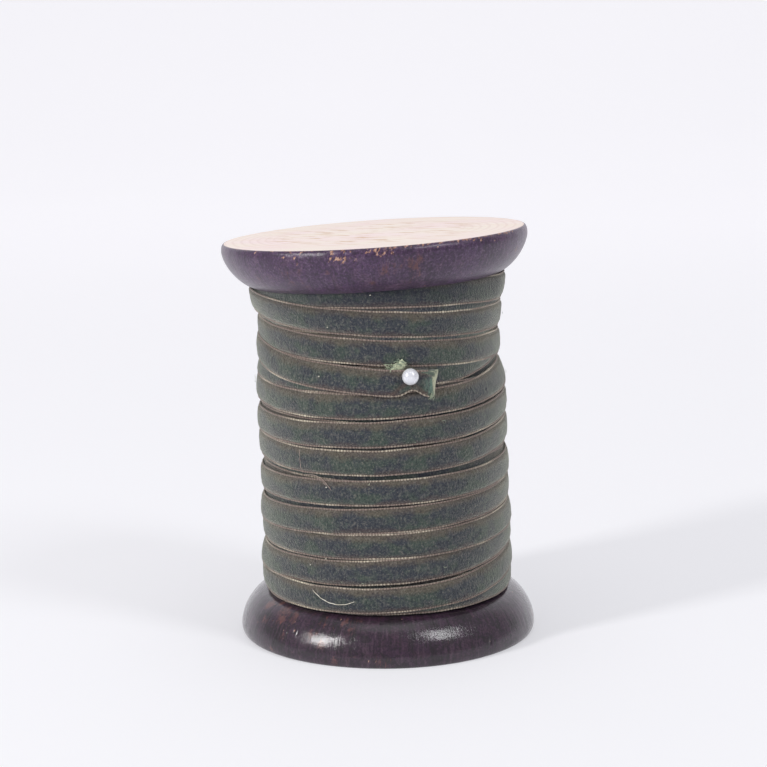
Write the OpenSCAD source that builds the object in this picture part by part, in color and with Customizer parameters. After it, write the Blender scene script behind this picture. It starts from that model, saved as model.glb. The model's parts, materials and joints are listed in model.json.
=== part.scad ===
// Wooden ribbon spool: two turned flanges on a turned core, wound with narrow velvet
// ribbon whose free end is held down by a pearl-headed pin.
// Millimetres. +Z is up, -Y is the front, and the origin is the centre of the face the
// spool stands on. The spool is old and stands a little crooked: its core leans to the
// left, and its top flange is tipped up at the right.

/* [Spool] */
// Diameter of the bottom flange
bottom_flange_d = 75.6; // [70:0.1:84]
// Diameter of the top flange, turned a little larger
top_flange_d = 76.9; // [70:0.1:84]
// Height at the middle of the top face
spool_h = 101.8; // [96:0.1:108]
// Thickness of a flange at its hub
flange_t = 11.2; // [10:0.1:12]
// How hollow the bottom flange's inner side is, where 1 is an ellipse
bottom_curve = 1.19; // [1:0.01:1.5]
// How hollow the top flange's inner side is
top_curve = 1.28; // [1:0.01:1.5]
// Radius where a flange's curved inner side meets its flat hub face
hub_r = 30.7; // [29:0.1:32]
// Radial size of the rounded lip round a flange's outer face
lip_r = 0.8; // [0.4:0.1:1.2]
// Axial size of the same lip
lip_t = 1.9; // [1:0.1:2.5]
// Lean of the core to the left, in degrees
core_lean = 1.4; // [0:0.1:2]
// Tip of the top flange, right side up, in degrees
top_tip = 3.2; // [1.4:0.1:3.6]

/* [Core] */
// Diameter of the core between its tenons
core_d = 30; // [24:0.5:32]
// Diameter of the blind mortise in each flange
mortise_d = 19; // [14:0.5:22]
// Depth of the blind mortise in each flange
mortise_deep = 7; // [5:0.5:8]
// Radial looseness of a tenon in its mortise
tenon_slack = 0.45; // [0.4:0.05:0.6]

/* [Ribbon] */
// Width of the ribbon
ribbon_w = 6.35; // [5.9:0.05:6.4]
// Thickness of one layer
ribbon_t = 0.6; // [0.5:0.05:0.7]
// Radius of the wound layers under the visible turns
pack_r = 30.6; // [30.4:0.1:30.8]
// Radius of the wound layers beside the top turns, where fewer layers lie
waist_r = 29; // [28.5:0.1:29.2]

/* [Pin] */
// Length of the pin over its head
pin_len = 38; // [30:1:40]
// Diameter of the steel shank
pin_d = 0.6; // [0.5:0.05:0.7]
// Diameter of the pearl head
pearl_d = 4; // [3.5:0.1:4.4]
// Radial clearance of the shank in the ribbon
pin_gap = 0.05; // [0.02:0.01:0.1]
// Turn of the pin to the right of straight back, which takes it past the core
pin_yaw = 17; // [15:1:22]

/* [Hidden] */
$fn = 96;

skin = 0.05;                              // air between touching layers
top_x = -spool_h * tan(core_lean);        // middle of the top face
core_end_gap = 0.6;                       // room under the tipped flange's hub
waist_z = 65.2;                           // below here the pack has its full radius
step = 7.5;                               // degrees between the rings of a swept band

// Middle of the pearl: the angle round the core, the height and the radius
pearl_at = [13.2, 70.6, 33.65];

// Each turn of the layer that rises, from the bottom: the ribbon's lower edge at the left,
// the front and the right, and the radius of its back along its lower and upper edges
rising_turns = [
    [11.6, 12.4, 16.2, 31.5, 30.7],
    [18.0, 19.4, 22.8, 31.5, 30.7],
    [25.0, 25.6, 28.5, 31.5, 30.7],
    [30.6, 32.0, 34.6, 31.5, 30.7],
    [37.7, 38.8, 41.2, 31.5, 30.7],
    [46.6, 46.4, 49.8, 31.5, 30.7],
    [52.6, 53.2, 56.2, 31.5, 30.7],
    [60.3, 60.6, 64.4, 31.4, 30.7],
    [67.0, 67.4, 71.4, 29.3, 29.25],
    [74.0, 74.6, 78.0, 29.15, 29.1],
    [80.6, 81.2, 84.6, 29.15, 29.1],
];
// Each turn of the last layer, which turns back under the top flange and comes down again
falling_turns = [
    [86.2, 86.7, 85.7, 30.3, 29.9],
    [82.6, 79.8, 78.7, 30.6, 31.5],
    [75.6, 72.8, 72.5, 30.05, 30.35],
    [69.7, 65.8, 64.6, 32.0, 30.6],
];
falling_end = 27;                         // angle of the free end, past the front

// Middle of the body of wound ribbon at a height: the core leans to the left
function body_x(z) = -z * tan(core_lean);
function on_body(angle, z, r) = [body_x(z) + r * sin(angle), -r * cos(angle), z];

// Rows at each quarter turn, where the row at the back is halfway to the next turn
function quarter_rows(turns) = [
    for (i = [0 : len(turns) - 1])
        let (t = turns[i], n = turns[min(i + 1, len(turns) - 1)])
        each [
            [t[0], t[3], t[4]],
            [t[1], t[3], t[4]],
            [t[2], t[3], t[4]],
            [(t[2] + n[0]) / 2, (t[3] + n[3]) / 2, (t[4] + n[4]) / 2],
        ]
];

// A smooth curve through the rows, u rows along
function curve(rows, u) =
    let (
        last = len(rows) - 1,
        i = min(floor(u), last - 1),
        f = u - i,
        a = rows[max(i - 1, 0)],
        b = rows[i],
        c = rows[i + 1],
        d = rows[min(i + 2, last)]
    )
    b + 0.5 * f * ((c - a) + f * ((2 * a - 5 * b + 4 * c - d) + f * (3 * b - a - 3 * c + d)));

// One ring of the band's section: back low, back high, face high, face low
function band_ring(angle, row) = [
    on_body(angle, row[0], row[1]),
    on_body(angle, row[0] + ribbon_w, row[2]),
    on_body(angle, row[0] + ribbon_w, row[2] + ribbon_t),
    on_body(angle, row[0], row[1] + ribbon_t),
];

// A band wound from one angle to another; angle -90 is the first row
module wound_band(turns, from, to) {
    rows = quarter_rows(turns);
    count = round((to - from) / step);
    rings = [
        for (i = [0 : count])
            let (angle = from + (to - from) * i / count)
            band_ring(angle, curve(rows, (angle + 90) / 90))
    ];
    points = [for (ring = rings) each ring];
    last = 4 * count;
    sides = [
        for (i = [0 : count - 1], k = [0 : 3])
            let (a = 4 * i + k, b = 4 * i + (k + 1) % 4)
            each [[a, b, a + 4], [b, b + 4, a + 4]]
    ];
    ends = [[2, 1, 0], [3, 2, 0], [last, last + 1, last + 2], [last, last + 2, last + 3]];
    polyhedron(points, concat(sides, ends), convexity = 10);
}

// A flange's outline from its outer face at height 0 up to its hub face
function flange_outline(r, power) = [
    for (a = [0 : 15 : 90])
        [r - lip_r + lip_r * sin(a), lip_t * (1 - cos(a))],
    for (a = [6 : 6 : 90])
        [hub_r + (r - hub_r) * pow(cos(a), power),
         lip_t + (flange_t - lip_t) * pow(sin(a), power)],
];

module turned_flange(d, power) {
    difference() {
        rotate_extrude()
            polygon(concat([[0, 0]], flange_outline(d / 2, power), [[0, flange_t]]));
        translate([0, 0, flange_t - mortise_deep])
            cylinder(h = mortise_deep + 1, d = mortise_d);
    }
}

module top_place() {
    translate([top_x, 0, spool_h])
        rotate([0, -top_tip, 0])
            mirror([0, 0, 1])
                children();
}

module leaning() {
    rotate([0, -core_lean, 0])
        children();
}

// Everything between the two hub faces, with a little air at each
module between_flanges() {
    difference() {
        intersection() {
            children();
            translate([-60, -60, flange_t + skin])
                cube([120, 120, spool_h]);
        }
        top_place()
            translate([-60, -60, -40])
                cube([120, 120, 40 + flange_t + skin]);
    }
}

// The pin's own axis is +Y, from the middle of the pearl inwards
module pin_place() {
    translate(on_body(pearl_at[0], pearl_at[1], pearl_at[2]))
        rotate([0, 0, -pin_yaw])
            rotate([-90, 0, 0])
                children();
}

module pin_bore() {
    pin_place()
        translate([0, 0, pearl_d / 4])
            cylinder(h = pin_len - pearl_d / 4, d = pin_d + 2 * pin_gap, $fn = 32);
}

module bottom_flange() {
    color("#3a2427") turned_flange(bottom_flange_d, bottom_curve);
}

module top_flange() {
    color("#3a2427") top_place() turned_flange(top_flange_d, top_curve);
}

module core() {
    tenon_d = mortise_d - 2 * tenon_slack;
    floor_z = flange_t - mortise_deep + tenon_slack;
    tenon_h = spool_h - 2 * floor_z - 0.2;
    color("#8a6a4a") {
        leaning() translate([0, 0, floor_z]) cylinder(h = tenon_h, d = tenon_d);
        leaning()
            translate([0, 0, flange_t + core_end_gap])
                cylinder(h = spool_h - 2 * (flange_t + core_end_gap), d = core_d);
    }
}

module ribbon_inner_layers() {
    inner_r = core_d / 2 + skin;
    color("#27332c")
        difference() {
            between_flanges()
                leaning()
                    rotate_extrude()
                        polygon([
                            [inner_r, 0], [pack_r, 0], [pack_r, waist_z],
                            [waist_r, waist_z], [waist_r, spool_h], [inner_r, spool_h],
                        ]);
            pin_bore();
        }
}

module ribbon_rising_layer() {
    color("#35443a")
        difference() {
            between_flanges()
                wound_band(rising_turns, -90, 360 * (len(rising_turns) - 1) + 180);
            pin_bore();
        }
}

module ribbon_last_layer() {
    color("#3f4f43")
        difference() {
            between_flanges()
                wound_band(falling_turns, -90, 360 * (len(falling_turns) - 1) + falling_end);
            pin_bore();
        }
}

module pin_shank() {
    point_h = 2.5;
    shank_h = pin_len - pearl_d / 2 - point_h;
    color("silver")
        pin_place() {
            cylinder(h = shank_h, d = pin_d, $fn = 32);
            translate([0, 0, shank_h])
                cylinder(h = point_h, d1 = pin_d, d2 = 0.05, $fn = 32);
        }
}

module pin_pearl() {
    color("#f2f1ee")
        pin_place()
            difference() {
                sphere(d = pearl_d, $fn = 64);
                cylinder(h = pearl_d, d = pin_d, $fn = 32);
            }
}

bottom_flange();
top_flange();
core();
ribbon_inner_layers();
ribbon_rising_layer();
ribbon_last_layer();
pin_shank();
pin_pearl();
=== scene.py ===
"""Looks of the ribbon spool: stained wooden flanges, velvet wound in turns, a pearl-headed pin."""
import json
import math

import bpy
import numpy as np
from mathutils import Matrix, Vector, noise


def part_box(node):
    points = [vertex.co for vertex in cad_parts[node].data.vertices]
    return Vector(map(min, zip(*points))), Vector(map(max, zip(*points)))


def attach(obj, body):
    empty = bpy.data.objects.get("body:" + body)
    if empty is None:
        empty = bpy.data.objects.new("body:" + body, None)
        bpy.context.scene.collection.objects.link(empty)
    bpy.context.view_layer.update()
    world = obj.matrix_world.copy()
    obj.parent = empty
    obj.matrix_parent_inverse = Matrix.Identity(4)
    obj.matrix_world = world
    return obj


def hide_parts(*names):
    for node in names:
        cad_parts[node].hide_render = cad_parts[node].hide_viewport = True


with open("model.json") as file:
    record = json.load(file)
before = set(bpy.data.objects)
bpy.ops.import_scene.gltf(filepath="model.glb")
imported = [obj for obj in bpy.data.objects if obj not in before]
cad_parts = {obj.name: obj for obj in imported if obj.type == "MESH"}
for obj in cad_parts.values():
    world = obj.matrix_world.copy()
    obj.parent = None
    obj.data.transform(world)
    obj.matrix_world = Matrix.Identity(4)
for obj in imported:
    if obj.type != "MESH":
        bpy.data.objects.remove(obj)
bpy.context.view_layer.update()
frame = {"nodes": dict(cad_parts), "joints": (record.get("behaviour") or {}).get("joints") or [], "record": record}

MM = 0.001

# ---------------- sizes taken from the frame
mounts = {m["name"]: m for m in frame["record"]["mounts"]}
TOP_AT = Vector(mounts["top_face"]["pos_m"])
TOP_NORMAL = Vector(mounts["top_face"]["axis"]).normalized()
LEAN = -TOP_AT.x / TOP_AT.z  # how far the core leans to the left for each unit of height
base_low, base_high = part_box("bottom_flange")
FLANGE_T = base_high.z - base_low.z
BASE_R = (base_high.y - base_low.y) / 2
top_low, top_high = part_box("top_flange")
TOP_R = (top_high.y - top_low.y) / 2
pearl_low, pearl_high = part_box("pin_pearl")
PEARL_AT = (pearl_low + pearl_high) / 2
PEARL_R = (pearl_high.z - pearl_low.z) / 2
PIN_OUT = Vector(next(j for j in frame["joints"] if j["name"] == "pin_pull")["axis"]).normalized()

# ---------------- the flanges, as in the CAD part
LIP_R = 0.8 * MM
LIP_T = 1.9 * MM
HUB_R = 30.7 * MM
BASE_CURVE = 1.19
TOP_CURVE = 1.28
FACE_RINGS = 11  # rings of points across the flat outer face
HUB_EDGE = 28  # millimetres from the axis, where the hub's flat end begins
SWELL_HIGH, SWELL_LONG = 0.10, 24  # how uneven turning left the sides, in millimetres
LUMP_HIGH, LUMP_LONG = 0.035, 2.6
CHIP_DEEP = 0.22
MORTISE_R = 9.5 * MM
MORTISE_DEEP = 7 * MM

# ---------------- the ribbon, in millimetres
RIBBON_W = 6.35
BASE_T = 0.28  # woven ground under the pile
PILE_T = 0.55  # pile over it at the middle of the ribbon
LAYER_T = 0.6  # what one layer adds under tension
SELVEDGE = 0.40  # bare woven strip along each edge
PICOT_PITCH = 0.77  # distance between the small loops of the selvedge
BODY_SHIFT = 0.55  # the wound body sits this far to the right of the core's line
LAID_R = 31.5  # radius at which an angle on the visible layer is turned into a length
DEGREE = math.radians(1) * LAID_R  # that length for one degree

# The ribbon is wound up the spool and part of the way back down, a turn at a time. Wound by hand,
# no two turns lie alike: a turn sits off the even pitch by its first number, climbs from its left
# side to its right by its second, and has its two sides above its front by its third.
ANGLES = (-80, -40, 0, 40, 80)  # degrees from the front at which a turn's height is set
START_ANGLE = -90.0  # where the visible ribbon begins
START_AT = 11.6  # lower edge of the level turn at the bottom, at the front
UP_FROM, UP_PITCH = 12.2, 6.9
DOWN_FROM, DOWN_PITCH = 86.7, -7.0
STARTING = ((0, 0.5, 0),)
RISING = (
    (0, 4.5, 2.5),
    (0, 5, 1.5),
    (-0.5, 3, 1),
    (-1, 4.5, 0.5),
    (-1, 3, 0.5),
    (-0.5, 3, 2),
    (-0.5, 3.5, 1.5),
    (-0.5, 3, 2.5),
    (-1, 4.5, 3),
    (0.5, 4, 1.5),
    (0, 4, 1.5),
)
FALLING = ((0, 0.5, -1), (0, -4, 1), (0, -4, 1), (0, -6, 2))
TAIL_END = 22.8  # angle of the fold at the free end

# The hidden layers: their radius, and how much slimmer they are below the top
PACK_R = 30.85
WAIST_DEEP = 1.85


def smooth_curve(x, knots, values):
    """A smooth curve through the values, whose slopes are those of the chords either side."""
    knots, values = np.asarray(knots, float), np.asarray(values, float)
    slopes = np.gradient(values, knots)
    i = np.clip(np.searchsorted(knots, x) - 1, 0, len(knots) - 2)
    h = knots[i + 1] - knots[i]
    t = (x - knots[i]) / h
    a, b = values[i], values[i + 1]
    return (
        a * (1 + 2 * t) * (1 - t) ** 2
        + slopes[i] * h * t * (1 - t) ** 2
        + b * t**2 * (3 - 2 * t)
        + slopes[i + 1] * h * t**2 * (t - 1)
    )


def smoothstep(x, low, high):
    t = np.clip((x - low) / (high - low), 0, 1)
    return t * t * (3 - 2 * t)


def wander(x, rng, longest, count=6):
    """Gentle random wandering along x, about -1 to 1, made of waves no longer than longest."""
    total = np.zeros_like(x, float)
    for k in range(count):
        wave = longest / (1.0 + 0.9 * k + 0.4 * rng.random())
        total += np.sin(2 * np.pi * (x / wave + rng.random())) / (1 + 0.5 * k)
    return total / 1.8


# ---------------- mesh helpers
def link(obj):
    bpy.context.scene.collection.objects.link(obj)
    return obj


def grid_object(name, points, closed=True):
    """A mesh over rows and columns of points, in metres.

    Closed, its columns join up into rings, and its first and last rows are capped."""
    rows, cols = points.shape[:2]
    steps = cols if closed else cols - 1
    row, col = np.meshgrid(np.arange(rows - 1), np.arange(steps), indexing="ij")
    here, after = row * cols + col, row * cols + (col + 1) % cols
    faces = np.stack([here, after, after + cols, here + cols], -1).reshape(-1, 4).tolist()
    if closed:
        faces.append(list(range(cols - 1, -1, -1)))
        faces.append([(rows - 1) * cols + k for k in range(cols)])
    mesh = bpy.data.meshes.new(name)
    mesh.from_pydata(points.reshape(-1, 3).tolist(), [], faces)
    mesh.validate()
    mesh.polygons.foreach_set("use_smooth", np.ones(len(mesh.polygons), bool))
    mesh.update()
    if closed:
        face_outward(mesh)
    return link(bpy.data.objects.new(name, mesh))


def paint(obj, name, values, points):
    """Stores a number for each of a mesh's points under a name that a material reads."""
    values = np.broadcast_to(values, points.shape[:2])
    layer = obj.data.attributes.new(name, "FLOAT", "POINT")
    layer.data.foreach_set("value", np.asarray(values, np.float32).ravel())


def face_outward(mesh):
    """Turns a closed mesh the right way out."""
    co = np.zeros(len(mesh.vertices) * 3)
    mesh.vertices.foreach_get("co", co)
    mesh.calc_loop_triangles()
    tri = np.zeros(len(mesh.loop_triangles) * 3, np.int32)
    mesh.loop_triangles.foreach_get("vertices", tri)
    p = co.reshape(-1, 3)[tri].reshape(-1, 3, 3)
    if np.einsum("ij,ij->i", p[:, 0], np.cross(p[:, 1], p[:, 2])).sum() < 0:
        mesh.flip_normals()


# ---------------- material helpers
class Shader:
    """A material whose nodes are added one call each."""

    def __init__(self, name):
        self.material = bpy.data.materials.new(name)
        self.material.use_nodes = True
        self.tree = self.material.node_tree
        self.surface = self.tree.nodes["Principled BSDF"]

    def node(self, kind, inputs=None, out=0, **settings):
        made = self.tree.nodes.new(kind)
        for key, value in settings.items():
            setattr(made, key, value)
        for key, value in (inputs or {}).items():
            self.plug(made.inputs[key], value)
        return made.outputs[out]

    def plug(self, socket, value):
        if isinstance(value, bpy.types.NodeSocket):
            self.tree.links.new(value, socket)
        else:
            socket.default_value = value

    def principled(self, **values):
        """Sets the surface's own values, whose names have _ for a space."""
        for key, value in values.items():
            self.plug(self.surface.inputs[key.replace("_", " ")], value)

    def attribute(self, name):
        return self.node("ShaderNodeAttribute", attribute_name=name, out=2)

    def position(self):
        return self.node("ShaderNodeTexCoord", out=3)

    def axes(self):
        """The x, y and z of a place on the object."""
        x = self.node("ShaderNodeSeparateXYZ", {0: self.position()})
        return x, x.node.outputs[1], x.node.outputs[2]

    def radius(self):
        """How far a place is from the object's upright axis."""
        x, y, _ = self.axes()
        return self.math("SQRT", self.plus(self.times(x, x), self.times(y, y)))

    def math(self, operation, a, b=0.0, clamp=False):
        return self.node("ShaderNodeMath", {0: a, 1: b}, operation=operation, use_clamp=clamp)

    def times(self, a, b):
        return self.math("MULTIPLY", a, b)

    def plus(self, a, b):
        return self.math("ADD", a, b)

    def swing(self, value, size):
        """A noise of 0 to 1 as a swing either side of nothing."""
        return self.times(self.math("SUBTRACT", value, 0.5), size)

    def scaled(self, vector, scale):
        inputs = {0: vector, 1: scale}
        return self.node("ShaderNodeVectorMath", inputs, operation="MULTIPLY")

    def combine(self, x, y, z=0.0):
        return self.node("ShaderNodeCombineXYZ", {0: x, 1: y, 2: z})

    def noise(self, vector, scale=1.0, detail=3.0, roughness=0.55, distortion=0.0):
        inputs = {
            "Vector": vector,
            "Scale": scale,
            "Detail": detail,
            "Roughness": roughness,
            "Distortion": distortion,
        }
        return self.node("ShaderNodeTexNoise", inputs)

    def ramp(self, value, low, high, to_low=0.0, to_high=1.0):
        inputs = {"Value": value, 1: low, 2: high, 3: to_low, 4: to_high}
        return self.node("ShaderNodeMapRange", inputs, interpolation_type="SMOOTHSTEP")

    def mix(self, factor, a, b, blend="MIX"):
        made = self.tree.nodes.new("ShaderNodeMix")
        made.data_type = "RGBA"
        made.blend_type = blend
        self.plug(made.inputs[0], factor)
        self.plug(made.inputs[6], a if isinstance(a, bpy.types.NodeSocket) else (*a, 1))
        self.plug(made.inputs[7], b if isinstance(b, bpy.types.NodeSocket) else (*b, 1))
        return made.outputs[2]

    def over(self, colour, mask, strength, other):
        """The colour with another laid over it where the mask is."""
        return self.mix(self.times(mask, strength), colour, other)

    def bump(self, height, strength, distance, normal=None):
        inputs = {"Height": height, "Strength": strength, "Distance": distance}
        if normal is not None:
            inputs["Normal"] = normal
        return self.node("ShaderNodeBump", inputs)


def give(obj, *materials):
    obj.data.materials.clear()
    for material in materials:
        obj.data.materials.append(material)


# ---------------- materials
RING_GAP = 0.0021  # between the rings that turning left on the bare face


def around(s, turns, along):
    """Coordinates round an upright axis with no seam: turns sets the detail round it, along up it."""
    x, y, z = s.axes()
    radius = s.math("MAXIMUM", s.radius(), 0.0001)
    u = s.times(s.math("DIVIDE", x, radius), turns)
    v = s.times(s.math("DIVIDE", y, radius), turns)
    return s.combine(u, v, s.times(z, along))


def stained_wood_material(name, tone, scuffed, gloss, coat_rough):
    """Dark stain under old, handled lacquer: fine scratches, rubbed red patches, bare chips.

    Tone tints the stain, scuffed is how strong its scratches are, gloss is how much lacquer is
    left and coat_rough how dull the lacquer is."""
    s = Shader(name)
    place = s.position()
    wear = s.attribute("wear")
    rub = s.attribute("rub")
    streaks = s.noise(around(s, 42.0, 150.0), detail=5.0, roughness=0.65)
    fine = s.noise(around(s, 120.0, 320.0), detail=4.0, roughness=0.7)
    mottle = s.noise(place, 260.0, detail=4.0, roughness=0.65)
    cloud = s.noise(place, 60.0, detail=2.0)
    speck = s.noise(place, 1700.0, roughness=0.7)
    slanted = s.node("ShaderNodeMapping", {"Vector": place, "Rotation": (0, math.radians(-38), 0)})
    slash = s.noise(s.scaled(slanted, (1700.0, 700.0, 620.0)), detail=2.0, roughness=0.5)
    crack = s.noise(around(s, 26.0, 40.0), roughness=0.5)
    crack = s.ramp(s.math("ABSOLUTE", s.math("SUBTRACT", crack, 0.5)), 0.010, 0.0)

    dark = s.mix(s.ramp(cloud, 0.35, 0.65), (0.044, 0.016, 0.046), (0.066, 0.026, 0.070))
    dark = s.over(dark, s.ramp(mottle, 0.50, 0.64), 0.6, (0.092, 0.040, 0.074))
    dark = s.over(dark, s.ramp(streaks, 0.52, 0.64), scuffed, (0.118, 0.070, 0.108))
    dark = s.over(dark, s.ramp(streaks, 0.48, 0.38), 0.2 + 0.5 * scuffed, (0.015, 0.008, 0.014))
    dark = s.over(dark, s.ramp(speck, 0.50, 0.40), 0.65, (0.016, 0.009, 0.016))
    dark = s.over(dark, s.ramp(speck, 0.55, 0.66), 0.40, (0.175, 0.115, 0.150))
    dark = s.over(dark, s.ramp(mottle, 0.50, 0.38), 0.6 * scuffed, (0.010, 0.005, 0.009))
    dark = s.mix(1.0, dark, tone, "MULTIPLY")
    patchy = s.plus(rub, s.swing(mottle, 1.6))
    patchy = s.plus(patchy, s.swing(speck, 0.9))
    dark = s.over(dark, s.ramp(patchy, 0.40, 0.85), 0.8, (0.112, 0.043, 0.040))
    cracked = s.times(crack, s.math("MULTIPLY", rub, 1.0, clamp=True))
    dark = s.mix(cracked, dark, (0.170, 0.050, 0.040))
    bare = s.ramp(s.plus(slash, s.times(wear, 0.48)), 0.72, 0.84)
    chips = s.mix(s.ramp(speck, 0.40, 0.62), (0.20, 0.085, 0.060), (0.50, 0.30, 0.22))
    colour = s.mix(bare, dark, chips)
    rough = s.plus(0.30, s.times(fine, 0.25))
    rough = s.plus(rough, s.times(bare, 0.3))
    s.principled(Base_Color=colour, Roughness=rough, Specular_IOR_Level=0.20, Sheen_Weight=0.05)
    normal = s.bump(streaks, 0.30, 0.0002)
    normal = s.bump(fine, 0.35, 0.00014, normal)
    normal = s.bump(speck, 0.35, 0.00007, normal)
    normal = s.bump(bare, 0.5, -0.00015, normal)
    gloss_normal = s.bump(streaks, 0.30, 0.00020)
    gloss_normal = s.bump(fine, 0.28, 0.00010, gloss_normal)
    gloss_normal = s.bump(speck, 0.42, 0.00009, gloss_normal)
    s.principled(Normal=normal, Coat_Normal=gloss_normal)
    s.principled(Coat_Weight=gloss, Coat_Roughness=coat_rough)
    return s.material


def bare_wood_material(name, grain_degrees, dashes):
    """Bare, handled pale wood: straight grain dashes across faint rings from turning."""
    s = Shader(name)
    place = s.position()
    turned = s.node("ShaderNodeMapping", {"Vector": place, "Rotation": (0, 0, math.radians(grain_degrees))})
    grain = s.noise(s.scaled(turned, (45.0, 700.0, 45.0)), detail=4.0, roughness=0.6, distortion=0.15)
    dash = s.noise(s.scaled(turned, (95.0, 620.0, 60.0)))
    cloud = s.noise(place, 55.0)
    radius = s.radius()
    wobble = s.times(s.noise(place, 90.0), 0.0015)
    rings = s.math("SINE", s.times(s.plus(radius, wobble), 2 * math.pi / RING_GAP))
    rings = s.times(rings, s.ramp(radius, 0.012, 0.030))

    colour = s.mix(s.ramp(cloud, 0.35, 0.7), (0.87, 0.78, 0.70), (0.87, 0.73, 0.715))
    colour = s.over(colour, s.ramp(grain, 0.50, 0.72), 0.45, (0.80, 0.60, 0.46))
    strength = s.times(s.ramp(dash, 0.54, 0.64), dashes)
    strength = s.times(strength, s.ramp(radius, 0.032, 0.020))
    colour = s.mix(strength, colour, (0.62, 0.42, 0.27))
    colour = s.over(colour, s.ramp(rings, 0.2, 1.0), 0.30, (0.72, 0.55, 0.50))
    s.principled(Base_Color=colour, Roughness=s.plus(0.5, s.times(grain, 0.25)))
    normal = s.bump(grain, 0.35, 0.0002)
    normal = s.bump(rings, 0.15, 0.0001, normal)
    s.principled(Normal=normal)
    return s.material


def velvet_material(name, shade):
    """Worn cotton velvet: brushed streaks across the ribbon, rubbed brown by its edges, with painted light on each
    turn's upper part and painted shade on its lower part and under the upper flange.

    A place on it is millimetres along, 0 to 1 across, and a turn, which has a pattern of its own. Shade, from 0 to
    1, is painted shade: it darkens the colour and weakens the sheen, for a shaded copy."""
    s = Shader(name)
    along, across = s.attribute("along"), s.attribute("across")
    place = s.position()
    lane = s.times(s.attribute("turn"), 7.31)
    streak_at = s.combine(s.times(along, 2.1), s.times(across, 4.5), lane)
    streak = s.noise(streak_at, detail=4.0, roughness=0.7)
    tuft_at = s.combine(s.times(along, 3.3), s.times(across, 15.0), lane)
    tuft = s.noise(tuft_at, roughness=0.65)
    drift_at = s.combine(s.times(along, 0.14), s.times(across, 1.1), lane)
    drift = s.noise(drift_at, roughness=0.6)
    patch = s.noise(place, 420.0, roughness=0.6)
    grit = s.noise(place, 1900.0, detail=2.0, roughness=0.7)

    slate, green = (0.038, 0.045, 0.060), (0.050, 0.073, 0.062)
    colour = s.mix(s.ramp(drift, 0.44, 0.62), slate, green)
    colour = s.over(colour, s.ramp(patch, 0.52, 0.66), 0.45, (0.082, 0.106, 0.088))
    colour = s.over(colour, s.ramp(streak, 0.50, 0.78), 0.75, (0.150, 0.150, 0.130))
    colour = s.over(colour, s.ramp(streak, 0.50, 0.26), 0.55, (0.024, 0.027, 0.037))
    colour = s.over(colour, s.ramp(tuft, 0.56, 0.80), 0.55, (0.190, 0.180, 0.150))

    ragged = s.swing(tuft, 0.30)
    ragged = s.plus(ragged, s.swing(drift, 0.55))
    height = s.plus(across, ragged)
    # Both edges rubbed brown, with painted light and shade: a lighter brown toward the upper edge, as if lit from
    # above, and a duller brown toward the lower edge as painted shade.
    colour = s.over(colour, s.ramp(height, 0.60, 0.90), 0.72, (0.125, 0.098, 0.076))
    colour = s.over(colour, s.ramp(height, 0.24, 0.06), 0.60, (0.086, 0.054, 0.052))
    colour = s.over(colour, s.attribute("crease"), 0.55, (0.135, 0.088, 0.070))
    colour = s.over(colour, s.ramp(grit, 0.52, 0.68), 0.45, (0.215, 0.200, 0.175))
    colour = s.over(colour, s.ramp(grit, 0.47, 0.32), 0.60, (0.018, 0.016, 0.024))
    crushed = s.times(s.attribute("folded"), s.ramp(streak, 0.36, 0.58, 0.3, 1.0))
    colour = s.mix(s.ramp(crushed, 0.1, 0.8, 0.0, 0.9), colour, (0.150, 0.225, 0.180))
    # Painted shade: the ribbon darkens toward the top, under the upper flange.
    painted_shade_under_flange = s.ramp(s.axes()[2], 0.083, 0.091, 0.0, 0.45)
    colour = s.mix(painted_shade_under_flange, colour, (0.020, 0.021, 0.033))
    # Painted shade: the whole colour darkened toward dark slate by the shade value.
    colour = s.mix(shade, colour, (0.012, 0.011, 0.019))

    s.principled(Base_Color=colour, Roughness=0.95, Specular_IOR_Level=0.15)
    s.principled(Sheen_Weight=1.0 - shade, Sheen_Roughness=0.42, Sheen_Tint=(0.80, 0.81, 0.71, 1))
    normal = s.bump(streak, 0.6, 0.00035)
    normal = s.bump(tuft, 0.8, 0.0003, normal)
    normal = s.bump(grit, 0.4, 0.00012, normal)
    s.principled(Normal=normal)
    return s.material


def selvedge_material():
    """The ribbon's woven edge: cream loops on a pinkish brown ground, cleaner in some turns."""
    s = Shader("selvedge")
    along = s.attribute("along")
    wave = s.math("SINE", s.times(along, 2 * math.pi / PICOT_PITCH))
    loops = s.ramp(wave, -0.25, 0.75)
    clean_at = s.combine(s.times(along, 0.055), s.attribute("turn"))
    clean = s.ramp(s.noise(clean_at), 0.46, 0.70)
    thread = s.noise(s.position(), 1800.0, detail=2.0)
    ground = s.mix(thread, (0.130, 0.094, 0.080), (0.190, 0.142, 0.118))
    dull = s.mix(loops, ground, (0.265, 0.208, 0.178))
    bright = s.mix(loops, (0.31, 0.26, 0.20), (0.68, 0.62, 0.48))
    colour = s.mix(clean, dull, bright)
    s.principled(Base_Color=colour, Roughness=0.85, Specular_IOR_Level=0.2, Sheen_Weight=0.35)
    s.principled(Normal=s.bump(thread, 0.5, 0.0001))
    return s.material


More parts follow.
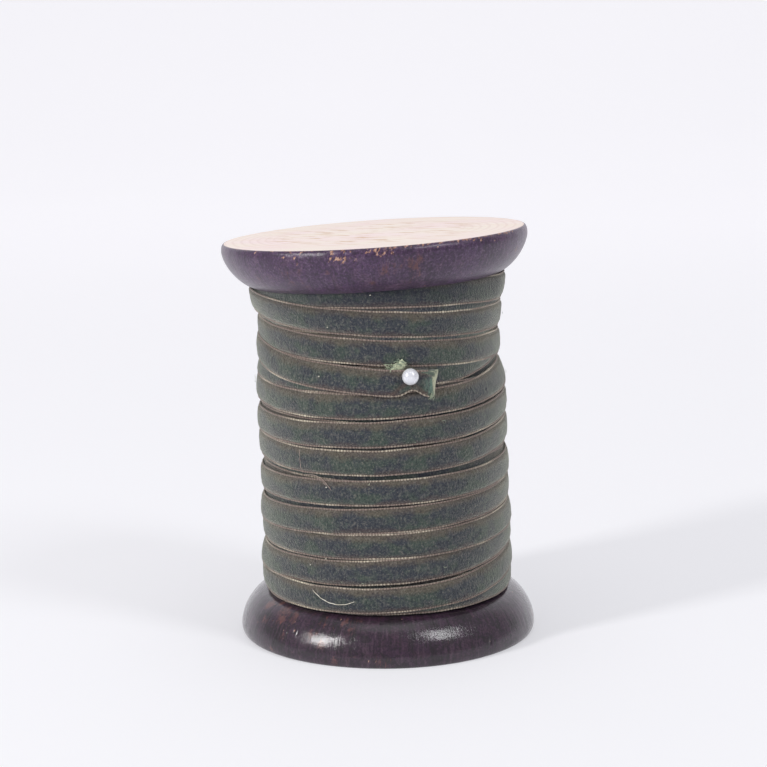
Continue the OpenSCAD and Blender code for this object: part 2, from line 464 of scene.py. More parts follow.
def woven_material(name, low, high, wear):
    """The ground of the ribbon where the pile is gone: fine threads both ways, unevenly faded."""
    s = Shader(name)
    place = s.position()
    warp = s.noise(s.scaled(place, (900.0, 900.0, 5200.0)), detail=2.0, roughness=0.6)
    weft = s.noise(s.scaled(place, (4600.0, 4600.0, 700.0)), detail=2.0, roughness=0.6)
    cloud = s.noise(place, 620.0)
    threads = s.plus(s.times(warp, 0.5), s.times(weft, 0.5))
    tone = s.plus(threads, s.swing(cloud, 0.9))
    tone = s.plus(tone, s.attribute("worn"))
    colour = s.mix(s.ramp(tone, wear - 0.14, wear + 0.16), low, high)
    s.principled(Base_Color=colour, Roughness=0.9, Specular_IOR_Level=0.15, Sheen_Weight=0.4)
    s.principled(Normal=s.bump(threads, 0.6, 0.00015))
    return s.material


def fibre_material(name, low, high):
    """A loose thread, paler and darker along its length."""
    s = Shader(name)
    tone = s.noise(s.position(), 900.0, detail=2.0)
    colour = s.mix(s.ramp(tone, 0.35, 0.65), low, high)
    s.principled(Base_Color=colour, Roughness=0.8, Sheen_Weight=0.3)
    s.principled(Normal=s.bump(tone, 0.3, 0.00005))
    return s.material


def pearl_material():
    """A coated bead: pearly white under a clear gloss, with faint clouds."""
    s = Shader("pearl")
    cloud = s.noise(s.position(), 700.0, detail=2.0)
    colour = s.mix(s.ramp(cloud, 0.35, 0.65), (0.72, 0.73, 0.78), (0.82, 0.83, 0.87))
    rough = s.plus(0.2, s.times(cloud, 0.12))
    s.principled(Base_Color=colour, Roughness=rough, Metallic=0.15, Normal=s.bump(cloud, 0.1, 0.00005))
    s.principled(Coat_Weight=1.0, Coat_Roughness=0.28, Sheen_Weight=0.2)
    return s.material


def steel_material():
    """Nickel-plated wire, drawn along its length."""
    s = Shader("pin_steel")
    lines = s.noise(s.scaled(s.position(), (2500.0, 120.0, 2500.0)))
    colour = s.mix(lines, (0.55, 0.55, 0.56), (0.74, 0.74, 0.75))
    rough = s.plus(0.16, s.times(lines, 0.2))
    s.principled(Base_Color=colour, Metallic=1.0, Roughness=rough, Normal=s.bump(lines, 0.15, 0.00003))
    return s.material


STAINED_TOP = stained_wood_material("stained_wood_top", (1.06, 1.18, 1.26), 0.30, 0.62, 0.28)
STAINED_BASE = stained_wood_material("stained_wood_base", (0.44, 0.36, 0.42), 1.0, 1.0, 0.08)
PALE_FACE = bare_wood_material("bare_wood_face", -38, 1.0)
CORE_WOOD = bare_wood_material("bare_wood_core", 0, 0.3)
VELVET = velvet_material("velvet", 0.0)
# A shaded copy of the velvet for the layer below, darkened with painted shade for the gaps between turns.
VELVET_IN_PAINTED_SHADE = velvet_material("velvet_in_painted_shade", 0.3)
SELVEDGE_CLOTH = selvedge_material()
RIBBON_BACK = woven_material("ribbon_back", (0.085, 0.085, 0.066), (0.60, 0.65, 0.45), 0.53)
FOLD_CLOTH = woven_material("fold_cloth", (0.080, 0.105, 0.085), (0.44, 0.45, 0.32), 0.47)
PINK_THREAD = fibre_material("pink_thread", (0.30, 0.22, 0.19), (0.54, 0.42, 0.36))
PALE_THREAD = fibre_material("pale_thread", (0.52, 0.48, 0.38), (0.82, 0.78, 0.68))
GREEN_THREAD = fibre_material("green_thread", (0.20, 0.27, 0.19), (0.48, 0.52, 0.36))
PEARL = pearl_material()
STEEL = steel_material()


# ---------------- flanges
def flange_outline(flange_r, power):
    """Radius and depth from the outer face, from its middle round the side to the mortise."""
    face = [(r * MM, 0.0) for r in np.linspace(0.01, 36, FACE_RINGS)]
    lip = [
        (flange_r - LIP_R + LIP_R * math.sin(a), LIP_T * (1 - math.cos(a)))
        for a in np.radians(np.arange(0, 91, 15))
    ]
    side = [
        (
            HUB_R + (flange_r - HUB_R) * max(math.cos(a), 0.0) ** power,
            LIP_T + (FLANGE_T - LIP_T) * math.sin(a) ** power,
        )
        for a in np.radians(np.arange(3, 91, 3))
    ]
    hub = [(r * MM, FLANGE_T) for r in (HUB_EDGE, 22, 15)]
    floor = FLANGE_T - MORTISE_DEEP
    mortise = [(MORTISE_R, FLANGE_T), (MORTISE_R, floor), (0.01 * MM, floor)]
    return face + lip + side + hub + mortise


def flange(name, place, wood, flange_r, power, wear_marks, rub_marks, seed):
    """A turned flange with its outer face at height 0 and its hub above, put where place says.

    A mark is its angle, its depth from where the lip begins, its two sizes and its strength, in
    degrees and millimetres. Wear shows bare wood and is a shallow chip; rub shows red wood."""
    outline = flange_outline(flange_r, power)
    segments = 1080
    angle = np.linspace(0, 2 * np.pi, segments, endpoint=False)
    radius = np.array([p[0] for p in outline])[:, None] + 0 * angle
    depth = np.array([p[1] for p in outline])[:, None] + 0 * angle
    step = np.hypot(*np.diff(np.array(outline), axis=0).T)
    track = np.concatenate([[0], np.cumsum(step)])[:, None] / MM + 0 * angle
    rim_track = track[FACE_RINGS, 0]  # where the flat face ends and the lip begins
    wear = np.zeros_like(radius)
    rub = np.zeros_like(radius)
    for marks, target in ((wear_marks, wear), (rub_marks, rub)):
        for at, down, wide, tall, strength in marks:
            off = (np.degrees(angle) - at + 180) % 360 - 180
            across = np.radians(off) * radius / MM
            below = track - rim_track - down
            blob = np.exp(-((across / wide) ** 2) - (below / tall) ** 2) * strength
            np.maximum(target, blob, out=target)
    outside = (track >= rim_track) & (radius > HUB_EDGE * MM)
    wobble = np.zeros_like(radius)
    lumps = np.zeros_like(radius)
    flat = np.stack([radius * np.cos(angle), radius * np.sin(angle), depth], -1)
    offset = Vector((seed * 3.1, seed * 1.7, 0))
    for i, j in zip(*np.nonzero(outside)):
        p = Vector(flat[i, j])
        wobble[i, j] = noise.noise(p / (SWELL_LONG * MM) + offset)
        lumps[i, j] = noise.noise(p / (LUMP_LONG * MM) + offset)
    push = np.where(outside, SWELL_HIGH * wobble + LUMP_HIGH * lumps, 0)
    push -= CHIP_DEEP * wear * outside
    radius = radius + push * MM
    points = np.stack([radius * np.cos(angle), radius * np.sin(angle), depth], -1)
    obj = grid_object(name, points)
    paint(obj, "wear", wear, points)
    paint(obj, "rub", rub, points)
    obj.matrix_world = place
    give(obj, wood, PALE_FACE)
    pale = np.zeros(len(obj.data.polygons), np.int32)
    pale[: FACE_RINGS * segments] = 1
    pale[-2] = 1
    obj.data.polygons.foreach_set("material_index", pale)
    return obj


def scattered(rng, count, at, spread, down, deep, wide, tall, strength):
    """Marks strewn about one place on a flange.

    They lie about an angle and a depth, by how far they spread each way, and have about the
    given width, height and strength."""
    return [
        (
            at + rng.normal(0, spread),
            abs(down + rng.normal(0, deep)),
            wide * rng.uniform(0.5, 1.5),
            tall * rng.uniform(0.5, 1.5),
            strength * rng.uniform(0.7, 1.1),
        )
        for _ in range(count)
    ]


def top_place():
    """The upper flange hangs from its tipped face, with its local X to the left."""
    down = -TOP_NORMAL
    y_axis = Vector((0, 1, 0))
    x_axis = y_axis.cross(down).normalized()
    turned = Matrix((x_axis, y_axis, down)).transposed().to_4x4()
    return Matrix.Translation(TOP_AT) @ turned


# Angles on the upper flange run from its local X, the left, and the front is at -90
rng = np.random.default_rng(7)
top_wear = (
    scattered(rng, 26, -78, 3.8, 2.4, 0.9, 0.8, 0.7, 0.56)
    + scattered(rng, 14, -87, 5.0, 0.9, 0.5, 0.7, 0.45, 0.60)
    + scattered(rng, 14, -64, 6, 1.6, 0.8, 0.7, 0.55, 0.56)
    + scattered(rng, 3, -94, 1, 1.2, 0.3, 0.8, 0.8, 0.62)
    + scattered(rng, 12, -122, 9, 0.7, 0.4, 0.8, 0.35, 0.64)
    + scattered(rng, 8, -142, 6, 0.7, 0.5, 1.0, 0.4, 0.66)
    + scattered(rng, 30, 90, 70, 0.9, 0.6, 0.6, 0.4, 0.62)
    + [(a, 0.25, 2.4, 0.25, 0.48) for a in range(-30, -94, -7)]
    + [(a, 0.3, 2.8, 0.45, 0.62) for a in range(-96, -154, -6)]
)
top_rub = (
    scattered(rng, 10, -106, 3.0, 5.5, 2.2, 0.9, 2.0, 0.7)
    + scattered(rng, 8, -95, 3.5, 6.5, 2.0, 0.9, 1.6, 0.6)
    + scattered(rng, 14, -60, 14, 8.0, 2.5, 1.5, 1.2, 0.6)
    + scattered(rng, 14, 80, 60, 6.0, 3.0, 1.5, 1.5, 0.7)
)
base_wear = (
    scattered(rng, 14, -132, 7, 7.0, 1.6, 0.25, 0.4, 0.62)
    + scattered(rng, 7, -92, 6, 1.8, 0.8, 0.25, 0.4, 0.7)
    + scattered(rng, 20, 80, 60, 2.0, 2.0, 0.6, 0.7, 0.8)
)
base_rub = (
    scattered(rng, 26, -132, 9, 10.5, 2.5, 1.4, 1.5, 0.85)
    + scattered(rng, 12, -112, 9, 11.5, 1.5, 0.9, 1.0, 0.7)
    + scattered(rng, 10, -92, 22, 2.2, 1.2, 0.8, 1.0, 0.6)
    + scattered(rng, 24, 80, 60, 9.0, 3.5, 1.8, 1.6, 0.7)
)
bottom_flange = flange(
    "flange_lower", Matrix.Identity(4), STAINED_BASE, BASE_R, BASE_CURVE, base_wear, base_rub, 1
)
top_flange = flange(
    "flange_upper", top_place(), STAINED_TOP, TOP_R, TOP_CURVE, top_wear, top_rub, 2
)

for piece, node in ((bottom_flange, "bottom_flange"), (top_flange, "top_flange")):
    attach(piece, "spool")
    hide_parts(node)
give(frame["nodes"]["core"], CORE_WOOD)


# ---------------- the ribbon's winding
def turn_heights(first, pitch, turns):
    """Height of the lower edge at each of ANGLES, turn after turn."""
    heights = []
    for k, (off, climb, bow) in enumerate(turns):
        for angle in ANGLES:
            side = angle / ANGLES[-1]
            heights.append(first + pitch * k + off + climb * side / 2 + bow * side**2)
    return heights


def pack_radius(height):
    """Outside of the hidden layers, which are slack and slimmer in a waist below the top."""
    waist = smoothstep(height, 64, 72) * (1 - smoothstep(height, 78, 93))
    return PACK_R - WAIST_DEEP * waist


def on_body(angle, height, radius):
    """A point on the leaning body, in metres, from degrees and millimetres."""
    a = np.radians(angle)
    x = -height * LEAN + BODY_SHIFT + radius * np.sin(a)
    return np.stack([x, -radius * np.cos(a), height + 0 * x], -1) * MM


STEP = 2.0  # degrees between the ribbon's cross-sections
RING = int(360 / STEP)
Z_STEP = 0.1  # millimetres between the heights at which the winding is tracked
CELLS = int(96 / Z_STEP)
SAMPLES = np.linspace(0.02, 0.98, 13)
TUCK_T = 0.45  # what the tucked end adds under the turn over it


def pile_profile(across):
    """Height over the ribbon's back, 0 to 1 across it: low selvedges and a crowned pile."""
    strip = SELVEDGE / RIBBON_W
    inside = np.clip((across - strip) / (1 - 2 * strip), 0, 1)
    shoulder = smoothstep(np.minimum(inside, 1 - inside), 0.0, 0.085)
    crown = 1 - 0.55 * np.abs(2 * inside - 1) ** 2.4
    return BASE_T + PILE_T * shoulder * crown


LEFT, RIGHT = (i.ravel() for i in np.meshgrid(np.arange(7), np.arange(7, 13), indexing="ij"))


def resting_line(support):
    """The straight line across the ribbon that lies on what is under it, as low as it can."""
    slope = (support[RIGHT] - support[LEFT]) / (SAMPLES[RIGHT] - SAMPLES[LEFT])
    start = support[LEFT] - slope * SAMPLES[LEFT]
    clear = (start[:, None] + slope[:, None] * SAMPLES - support).min(1) > -1e-6
    best = np.argmin(np.where(clear, start + slope / 2, np.inf))
    return start[best], start[best] + slope[best]


def evened(values, reach, width):
    """Raised to the highest value near by and smoothed, so a taut ribbon bridges small steps."""
    padded = np.pad(values, reach, mode="edge")
    high = np.max([padded[k : k + len(values)] for k in range(2 * reach + 1)], 0)
    kernel = np.hanning(width + 2)[1:-1]
    padded = np.pad(high, width // 2, mode="edge")
    return np.convolve(padded, kernel / kernel.sum(), mode="valid")


def wind(angles, low_edges, outer):
    """Lays a ribbon on what is wound already and returns the radii of its back at both edges.

    outer is the wound body's radius over angle and height, and grows as the ribbon is laid."""
    back_low, back_high = np.zeros(len(angles)), np.zeros(len(angles))
    column = np.round(angles / STEP).astype(int) % RING
    for k, (col, low) in enumerate(zip(column, low_edges)):
        cells = np.clip(((low + SAMPLES * RIBBON_W) / Z_STEP).astype(int), 0, CELLS - 1)
        back_low[k], back_high[k] = resting_line(outer[col, cells])
        first, last = int(low / Z_STEP), min(int((low + RIBBON_W) / Z_STEP), CELLS - 1)
        cells = np.arange(first, last)
        across = (cells * Z_STEP - low) / RIBBON_W
        back = back_low[k] + (back_high[k] - back_low[k]) * across
        layer = np.minimum(pile_profile(across), LAYER_T)
        outer[col, cells] = np.maximum(outer[col, cells], back + layer)
    return evened(back_low, 2, 11), evened(back_high, 2, 11)


def tuck_in(outer):
    """The free end, folded under and running back to the left, laid before the turn over it.

    Its rows run from the fold to the cut end, its columns from the upper edge to the lower."""
    run = np.linspace(0, 1, 28)[:, None]
    down = np.linspace(0, 1, 15)
    start_angle, start_top = 22.4, 71.6
    end_angle = 10.0 - 12.5 * down
    end_top = 74.5 - down * 4.0
    angle = start_angle + (end_angle - start_angle) * run
    top = start_top + (end_top - start_top) * run**3
    height = top - 4.2 * down * (1 - run) - 2.3 * down * run
    column = np.round(angle / STEP).astype(int) % RING
    cell = (height / Z_STEP).astype(int)
    radius = outer[column, cell].copy()
    for row in range(len(run)):
        radius[row] = evened(radius[row], 2, 5)
    for col in range(radius.shape[1]):
        radius[:, col] = evened(radius[:, col], 2, 7)
    for row in range(len(run)):
        for place in np.linspace(0, 14, 90):
            col = int(place)
            i = int(round(angle[row, col] / STEP)) % RING
            j = int((height[row, col] - (place - col) * TUCK_T) / Z_STEP)
            outer[i, j] = max(outer[i, j], radius[row, col] + TUCK_T)
    return angle, height, radius


height_cells = np.arange(CELLS) * Z_STEP
outer = np.repeat(pack_radius(height_cells)[None, :], RING, axis=0)

heights = turn_heights(START_AT, 0, STARTING)
heights += turn_heights(UP_FROM, UP_PITCH, RISING)
heights += turn_heights(DOWN_FROM, DOWN_PITCH, FALLING)
turn_count = len(heights) // len(ANGLES)
knots = [360.0 * k + angle for k in range(turn_count) for angle in ANGLES]
last_angle = 360.0 * (turn_count - 1) + TAIL_END
angles = np.arange(START_ANGLE, last_angle + STEP / 2, STEP)
rng = np.random.default_rng(11)
low_edges = smooth_curve(angles, knots, heights)
low_edges = low_edges + 0.07 * wander(angles, rng, 95.0)
widths = RIBBON_W * (1 + 0.012 * wander(angles, rng, 140.0))
last_turn = last_angle - TAIL_END
before = angles < last_turn - 90
laid = wind(angles[before], low_edges[before], outer)
tuck_angles, tuck_heights, tuck_radii = tuck_in(outer)
laid_last = wind(angles[~before], low_edges[~before], outer)
back_low, back_high = (np.concatenate(pair) for pair in zip(laid, laid_last))
join = np.abs(angles - last_turn + 90) < 12
for back in (back_low, back_high):
    back[join] = evened(back, 0, 11)[join]


def strip_points(angles, low, width, back_low, back_high, across, lift):
    """Points over the ribbon, one row for each cross-section."""
    height = low[:, None] + width[:, None] * across
    radius = back_low[:, None] + (back_high - back_low)[:, None] * across + lift
    return on_body(angles[:, None], height, radius)


# ---------------- the pinned end
pin_angle = math.degrees(math.atan2(PEARL_AT.x - (BODY_SHIFT * MM - PEARL_AT.z * LEAN), -PEARL_AT.y))
pin_height = PEARL_AT.z / MM
PINCH_LIFT = 1.65  # how far the lower edge rides up
PINCH_REACH = 2.3  # how far to either side it does so
PEARL_EDGE = 1.4  # where the creases begin, below the pin


def pinch(points, angles, across):
    """Draws the last turn's cloth to the pin: the lower edge rides up in a fold beneath it."""
    near = angles > last_turn - 30
    away = (angles - last_turn - pin_angle - 1.6) * DEGREE
    narrow = np.exp(-((away / PINCH_REACH) ** 2))[:, None] * (1 - smoothstep(across, 0.0, 0.72))
    moved = points.copy()
    moved[..., 2] += PINCH_LIFT * MM * narrow * near[:, None]
    fold = np.exp(-(away**2))[:, None] * np.exp(-(((across - 0.22) / 0.25) ** 2))
    dip = np.exp(-((away / 1.5) ** 2))[:, None] * np.exp(-(((across - 0.78) / 0.2) ** 2))
    outward = (0.55 * fold - 0.5 * dip) * MM * near[:, None]
    a = np.radians(angles)
    moved[..., 0] += outward * np.sin(a)[:, None]
    moved[..., 1] -= outward * np.cos(a)[:, None]
    return moved


def crease_marks(points, angles, across):
    """Three worn creases that run from the pearl down to the pinched edge.

    A crease is how far right and how far below the pin it ends, and its width."""
    right = (angles - last_turn - pin_angle)[:, None] * DEGREE + 0 * across
    down = pin_height - points[..., 2] / MM - PEARL_EDGE
    mark = np.zeros_like(right)
    for end_right, end_down, width in ((-4.6, 4.6, 0.5), (0.6, 3.2, 0.35), (4.2, 4.8, 0.5)):
        end_down -= PEARL_EDGE
        t = np.clip((right * end_right + down * end_down) / (end_right**2 + end_down**2), 0, 1)
        away = np.hypot(right - t * end_right, down - t * end_down)
        mark = np.maximum(mark, np.exp(-((away / width) ** 2)))
    return mark * (np.abs(right) < 8)


def ribbon_body():
    """The velvet: pile in front, woven back behind, one closed band."""
    coarse = np.arange(len(angles))[angles < last_angle - 40]
    fine = np.arange(angles[coarse[-1]] + 0.4, last_angle, 0.4)
    along_angles = np.concatenate([angles[coarse], fine])
    low, width, a, b = (
        np.interp(along_angles, angles, v) for v in (low_edges, widths, back_low, back_high)
    )
    half = np.array([0.0, 0.02, 0.045, 0.063, 0.075, 0.10, 0.14, 0.20, 0.28, 0.38])
    front = np.concatenate([half, [0.5], 1 - half[::-1]])
    lift_front = pile_profile(front)
    edge = (front == 0) | (front == 1)
    lift_front[edge] = 0.14
    back = np.array([1.0, 0.66, 0.33, 0.0])
    across = np.concatenate([front, back])
    rough = np.zeros((len(along_angles), len(front)))
    for k in range(len(front)):
        rough[:, k] = 0.05 * wander(along_angles, rng, 17.0)
    lift = lift_front + rough * (lift_front > 0.3)
    lift = np.concatenate([lift, np.zeros((len(along_angles), 4))], 1)
    points = strip_points(along_angles, low, width, a, b, across, lift)
    points = pinch(points, along_angles, across)
    obj = grid_object("ribbon_velvet", points)
    length = (along_angles - angles[0]) * DEGREE
    paint(obj, "along", length[:, None], points)
    paint(obj, "across", across, points)
    paint(obj, "turn", np.floor((along_angles + 180) / 360)[:, None], points)
    paint(obj, "crease", crease_marks(points, along_angles, across), points)
    near_fold = np.clip(1 - (last_angle - along_angles) / 6.0, 0, 1)
    low_down = 1 - 0.75 * smoothstep(across, 0.55, 0.85)
    paint(obj, "folded", near_fold[:, None] * low_down, points)
    give(obj, VELVET)
    return obj


def selvedge(name, side, angles, low_edges, widths, back_low, back_high, step, first_turn=0):
    """One woven edge: a thin cord of loops that swells at each loop."""
    fine = np.arange(angles[0], angles[-1], step)
    low, width, a, b = (
        np.interp(fine, angles, v) for v in (low_edges, widths, back_low, back_high)
    )
    length = (fine - fine[0]) * DEGREE
    jitter = 0.25 * wander(fine, rng, 14.0)
    loop = 0.5 + 0.5 * np.sin(2 * np.pi * (length + jitter) / PICOT_PITCH)
    size = 0.16 + 0.05 * loop + 0.03 * wander(fine, rng, 9.0)
    sides = 6
    turn_round = np.linspace(0, 2 * np.pi, sides, endpoint=False)
    middle = 0.03 if side == 0 else 0.97
    across = middle + (size[:, None] * 1.25 * np.cos(turn_round)) / RIBBON_W
    lift = 0.21 + size[:, None] * 0.85 * np.sin(turn_round)
    height = low[:, None] + width[:, None] * across
    radius = a[:, None] + (b - a)[:, None] * across + lift
    points = on_body(fine[:, None], height, radius)
    points = pinch(points, fine, np.array([middle] * sides))
    obj = grid_object(name, points)
    turn = first_turn + np.floor((fine + 180) / 360) + 20.5 * side
    paint(obj, "along", (length + jitter)[:, None], points)
    paint(obj, "turn", turn[:, None], points)
    give(obj, SELVEDGE_CLOTH)
    return obj


velvet = ribbon_body()
path = (angles, low_edges, widths, back_low, back_high)
lower_selvedge = selvedge("ribbon_lower_selvedge", 0, *path, 0.42)
upper_selvedge = selvedge("ribbon_upper_selvedge", 1, *path, 0.42)


def hidden_layers():
    """The layer below, wound downwards, of which only slivers show between the turns."""
    top, pitch = 81.5, 4.8
    span = np.arange(0, 360 * (top - START_AT) / pitch, 4.0)
    low = top - pitch * span / 360
    middle_r = pack_radius(low + RIBBON_W / 2) - 0.75
    across = np.array([0.0, 0.06, 0.12, 0.3, 0.5, 0.7, 0.88, 0.94, 1.0, 1.0, 0.0])
    lift = np.array([0.1, 0.2, 0.42, 0.5, 0.54, 0.5, 0.42, 0.2, 0.1, -0.9, -0.9])
    inner, outward = middle_r - 0.2, middle_r + 0.2
    width = np.full(len(span), RIBBON_W)
    points = strip_points(span, low, width, inner, outward, across, lift)
    obj = grid_object("ribbon_under_layer", points)
    length = span * math.radians(1) * (LAID_R - 1)
    paint(obj, "along", length[:, None], points)
    paint(obj, "across", across, points)
    paint(obj, "turn", 40 + np.floor(span / 360)[:, None], points)
    give(obj, VELVET_IN_PAINTED_SHADE)
    path = (span, low, width, inner, outward)
    edges = [selvedge(f"ribbon_under_selvedge_{k}", k, *path, 0.6, 41) for k in (0, 1)]
    return obj, edges


under, under_edges = hidden_layers()
for piece in (velvet, lower_selvedge, upper_selvedge, under, *under_edges):
    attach(piece, "spool")
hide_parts("ribbon_rising_layer", "ribbon_last_layer")
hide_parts("ribbon_inner_layers")


# ---------------- the folded end and loose threads
def tucked_end():
    """The part of the ribbon under the last turn, with its woven back outward."""
    thick = 0.42
    rag = 0.06 * np.sin(np.linspace(0, 40, tuck_angles.shape[1]))
    front = on_body(tuck_angles, tuck_heights, tuck_radii + thick + rag)
    behind = on_body(tuck_angles, tuck_heights, tuck_radii + 0.04)
    points = np.concatenate([front, behind[:, ::-1]], 1)
    obj = grid_object("ribbon_tucked_end", points)
    run = np.linspace(0, 1, points.shape[0])
    worn = -0.35 + 0.45 * smoothstep(run, 0.62, 0.9)
    paint(obj, "worn", worn[:, None], points)
    give(obj, RIBBON_BACK)
    return obj


def fold():
    """Where the ribbon doubles back: a soft roll standing up the height of the ribbon."""
    across = np.linspace(0.0, 1.0, 26)
    back = back_low[-1] + (back_high[-1] - back_low[-1]) * across
    low = low_edges[-1]
    around = np.radians(np.linspace(-90, 90, 13))
    rows = []
    for k, t in enumerate(across):
        inner = tuck_radii[0, min(int((1 - t) * 14.99), 14)] + 0.05
        outer_r = back[k] + 0.30 + 0.38 * min(1.0, 8 * t, 8 * (1 - t))
        middle, half = (inner + outer_r) / 2, (outer_r - inner) / 2
        reach = 1.9 + 0.12 * math.sin(7 * t + 1) - 1.9 * (0.5 - t)
        flap = -0.7 - 1.5 * min(1.0, 2.5 * t)
        s = np.concatenate([reach * np.cos(around) - 0.4, [flap, flap]])
        r = np.concatenate([middle + half * np.sin(around), [outer_r - 0.12, inner]])
        angle = last_angle - 0.4 + s / DEGREE
        rows.append(on_body(angle, np.full(len(s), low + RIBBON_W * t), r))
    points = np.array(rows)
    obj = grid_object("ribbon_fold", points)
    worn = np.concatenate([0.35 * np.cos(around) ** 2 - 0.05, [-0.2, -0.2]])
    top_darker = 0.12 * smoothstep(across, 0.72, 0.95)
    paint(obj, "worn", worn - top_darker[:, None], points)
    give(obj, FOLD_CLOTH)
    return obj


def thread(name, path, thick, material, wave=0.0):
    """A fine round fibre through the points of a path in degrees, height and radius."""
    path = np.array(path, float)
    count = 8 * (len(path) - 1) + 1
    t = np.linspace(0, len(path) - 1, count)
    knots = np.arange(len(path))
    angle, height, radius = (smooth_curve(t, knots, path[:, k]) for k in range(3))
    radius = radius + wave * np.sin(t * 4.1)
    line = on_body(angle, height, radius)
    ahead = np.gradient(line, axis=0)
    ahead /= np.linalg.norm(ahead, axis=1)[:, None]
    side = np.cross(ahead, np.array([0.3, 0.5, 0.81]))
    side /= np.linalg.norm(side, axis=1)[:, None]
    up = np.cross(side, ahead)
    ring = np.linspace(0, 2 * np.pi, 6, endpoint=False)
    size = thick * MM * (0.35 + 0.65 * np.sin(np.linspace(0.25, np.pi - 0.15, count)) ** 0.4)
    points = line[:, None] + size[:, None, None] * (
        side[:, None] * np.cos(ring)[None, :, None] + up[:, None] * np.sin(ring)[None, :, None]
    )
    obj = grid_object(name, points)
    give(obj, material)
    return obj


STRAND_R = 32  # radius at which the loose threads lie


def surface_radius(angle, height):
    """How far out the wound body reaches at a place."""
    return outer[int(round(angle / STEP)) % RING, int(height / Z_STEP)] + 0.25


def fray():
    """Short raw ends along the cut, and a few at the foot of the fold."""
    made = []
    for k in range(22):
        t = k / 21
        angle = 9.6 - 6.5 * t + rng.normal(0, 0.4)
        height = 74.2 - 2.0 * t + rng.normal(0, 0.15)
        reach = rng.uniform(0.5, 1.5)
        lean = rng.normal(-2.6, 1.2)
        lift = rng.normal(0.1, 0.35)
        base = surface_radius(angle, height) + 0.1
        path = [
            (angle + 2.5, height - 0.5, base - 0.1),
            (angle, height, base + 0.15),
            (angle + 0.6 * lean * reach / 2, height + lift, base + 0.2 + 0.1 * rng.random()),
            (angle + lean * reach / 2, height + 2 * lift, base + 0.15 + 0.25 * rng.random()),
        ]
        made.append(thread(f"fray_{k}", path, rng.uniform(0.05, 0.10), GREEN_THREAD))
    for k in range(7):
        angle, height = 22.0 + rng.normal(0, 1.0), 65.2 + rng.normal(0, 0.2)
        base = surface_radius(angle, height) + 0.35
        path = [
            (angle + 0.7, height + 1.2, base),
            (angle + 0.2, height, base + 0.15),
            (angle + rng.normal(0, 0.6), height - rng.uniform(0.3, 0.7), base + 0.1),
        ]
        made.append(thread(f"fold_fray_{k}", path, rng.uniform(0.04, 0.06), GREEN_THREAD))
    return made


def strand(name, at, heading, length, curl, thick, material):
    """A loose thread lying on the ribbon, curling evenly along its length.

    It starts at an angle and a height; heading is 0 to the right and 90 up, in degrees."""
    steps = 8
    angle, height = at
    path = []
    for k in range(steps + 1):
        path.append((angle, height, surface_radius(angle, height) + 0.32))
        way = math.radians(heading + curl * k / steps)
        angle += math.degrees(length / steps * math.cos(way) / STRAND_R)
        height += length / steps * math.sin(way)
    return thread(name, path, thick, material, wave=0.08)


def loose_threads():
    """Stray fibres lying on the ribbon, a few specks of lint, and short ends of pile."""
    made = [
        strand("thread_upper", (-39.5, 51.5), -92, 5, 15, 0.055, PINK_THREAD),
        strand("thread_middle", (-37, 45.5), 8, 8.5, -70, 0.06, PINK_THREAD),
        strand("thread_branch", (-31, 45), -15, 3, -30, 0.045, PINK_THREAD),
        strand("thread_lower", (-34.5, 17), -42, 12, 75, 0.10, PALE_THREAD),
    ]
    lint = [(-28, 25, 0.17), (-36, 23, 0.1), (-28, 70, 0.15)]
    lint += [(-23, 82, 0.12), (-3, 90, 0.12), (-26, 43, 0.13)]
    for k, (a, z, size) in enumerate(lint):
        r = surface_radius(a, z) + 0.3
        path = [(a - 0.3, z, r), (a, z + 0.1, r + 0.1), (a + 0.25, z + 0.05, r + 0.05)]
        made.append(thread(f"lint_{k}", path, size, PALE_THREAD))
    for k in range(46):
        a, z = rng.uniform(-180, 180), rng.uniform(14, 88)
        r = surface_radius(a, z) + 0.3
        turn, long = rng.uniform(0, 6.28), rng.uniform(0.3, 1.1)
        path = [(a, z, r), (a + long * math.cos(turn), z + 0.5 * long * math.sin(turn), r + 0.1)]
        path.append((a + 2 * long * math.cos(turn + 0.4), z + long * math.sin(turn + 0.4), r))
        made.append(thread(f"nap_{k}", path, rng.uniform(0.035, 0.06), GREEN_THREAD))
    return made


for piece in [tucked_end(), fold()] + fray() + loose_threads():
    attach(piece, "spool")


# ---------------- the pin
FLAT_FROM = 0.93  # part of the pearl's radius beyond which its back is flattened


def pearl():
    """A round bead that is a little flat where the shank enters."""
    polar = np.linspace(0.02, np.pi - 0.02, 40)[:, None]
    around = np.linspace(0, 2 * np.pi, 64, endpoint=False)
    z, rho = np.cos(polar), np.sin(polar)
    rho = np.where(z < -FLAT_FROM, rho * 0.96, rho)
    z = np.where(z < -FLAT_FROM, -FLAT_FROM - (z + FLAT_FROM) * 0.3, z)
    points = np.stack([rho * np.cos(around), rho * np.sin(around), z + 0 * around], -1)
    obj = grid_object("pin_pearl_bead", points * PEARL_R)
    turned = PIN_OUT.to_track_quat("Z", "Y").to_matrix().to_4x4()
    obj.matrix_world = Matrix.Translation(PEARL_AT) @ turned
    give(obj, PEARL)
    return obj


bead = pearl()
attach(bead, "pin")
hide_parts("pin_pearl")
give(frame["nodes"]["pin_shank"], STEEL)


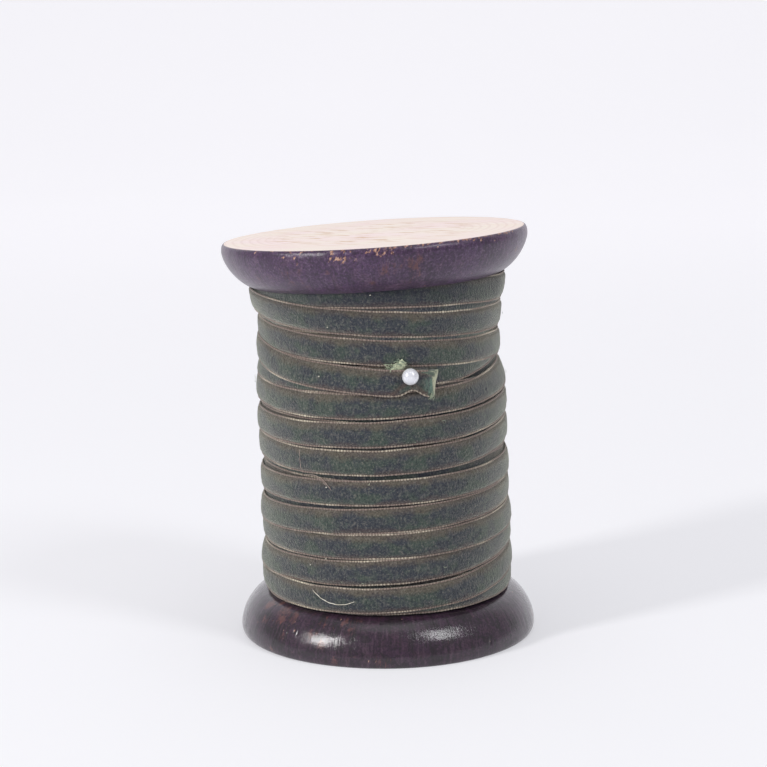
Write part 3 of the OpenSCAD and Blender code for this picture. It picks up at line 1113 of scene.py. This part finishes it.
# ---------------- floor, light and camera
def sweep():
    """A pale floor that curves up into a backdrop far behind."""
    back, curve = 1.2, 1.0  # where the floor begins to rise, and the radius of its curve
    floor_y = np.linspace(-2.0, back, 17)
    bend = np.radians(np.linspace(10, 90, 9))
    y = np.concatenate([floor_y, back + curve * np.sin(bend), [2.2, 2.2]])
    z = np.concatenate([0 * floor_y, curve * (1 - np.cos(bend)), [2.0, 3.0]])
    x = np.linspace(-3, 3, 7)
    points = np.stack([x[None, :] + 0 * y[:, None], y[:, None] + 0 * x, z[:, None] + 0 * x], -1)
    obj = grid_object("floor_sweep", points, closed=False)
    s = Shader("floor_paper")
    tone = s.noise(s.position(), 3.0, detail=2.0)
    paper = s.mix(tone, (0.52, 0.52, 0.535), (0.54, 0.54, 0.555))
    s.principled(Base_Color=paper, Roughness=0.9, Specular_IOR_Level=0.1)
    depth = s.axes()[1]
    glow = s.mix(s.ramp(depth, -0.3, 1.35), (0.355, 0.355, 0.371), (0.555, 0.548, 0.572))
    s.principled(Emission_Color=glow, Emission_Strength=1.0)
    give(obj, s.material)


sweep()


def softbox(name, azimuth, elevation, distance, size, power, colour):
    """An area light round the spool; azimuth 0 is at the camera's side and 90 at the right."""
    a, e = math.radians(azimuth), math.radians(elevation)
    aim = Vector((0, 0, 0.05))
    way = Vector((math.sin(a) * math.cos(e), -math.cos(a) * math.cos(e), math.sin(e)))
    data = bpy.data.lights.new(name, "AREA")
    data.shape = "RECTANGLE"
    data.size, data.size_y = size
    data.energy = power
    data.color = colour
    light = link(bpy.data.objects.new(name, data))
    light.location = aim + way * distance
    light.rotation_euler = (-way).to_track_quat("-Z", "Y").to_euler()


softbox("key", -55, 27, 1.3, (0.16, 0.42), 9.2, (1.0, 0.99, 0.98))
softbox("fill", 51, 42, 1.3, (0.26, 0.46), 4.6, (0.98, 0.99, 1.0))
softbox("overhead", 0, 84, 1.6, (1.2, 1.2), 3.9, (1.0, 1.0, 1.0))

world = bpy.data.worlds.new("studio")
world.use_nodes = True
world.node_tree.nodes["Background"].inputs[0].default_value = (0.96, 0.955, 0.99, 1)
world.node_tree.nodes["Background"].inputs[1].default_value = 0.43
bpy.context.scene.world = world

camera_data = bpy.data.cameras.new("camera")
camera_data.lens = 91.0
camera_data.sensor_width = 36.0
camera = link(bpy.data.objects.new("camera", camera_data))
camera.location = (0.0, -0.486, 0.147)
camera.rotation_euler = (math.radians(80.24), math.radians(0.67), math.radians(-0.06))
bpy.context.scene.camera = camera

bpy.context.scene.view_settings.view_transform = "Standard"
bpy.context.scene.view_settings.look = "None"
bpy.context.scene.view_settings.exposure = 0.0
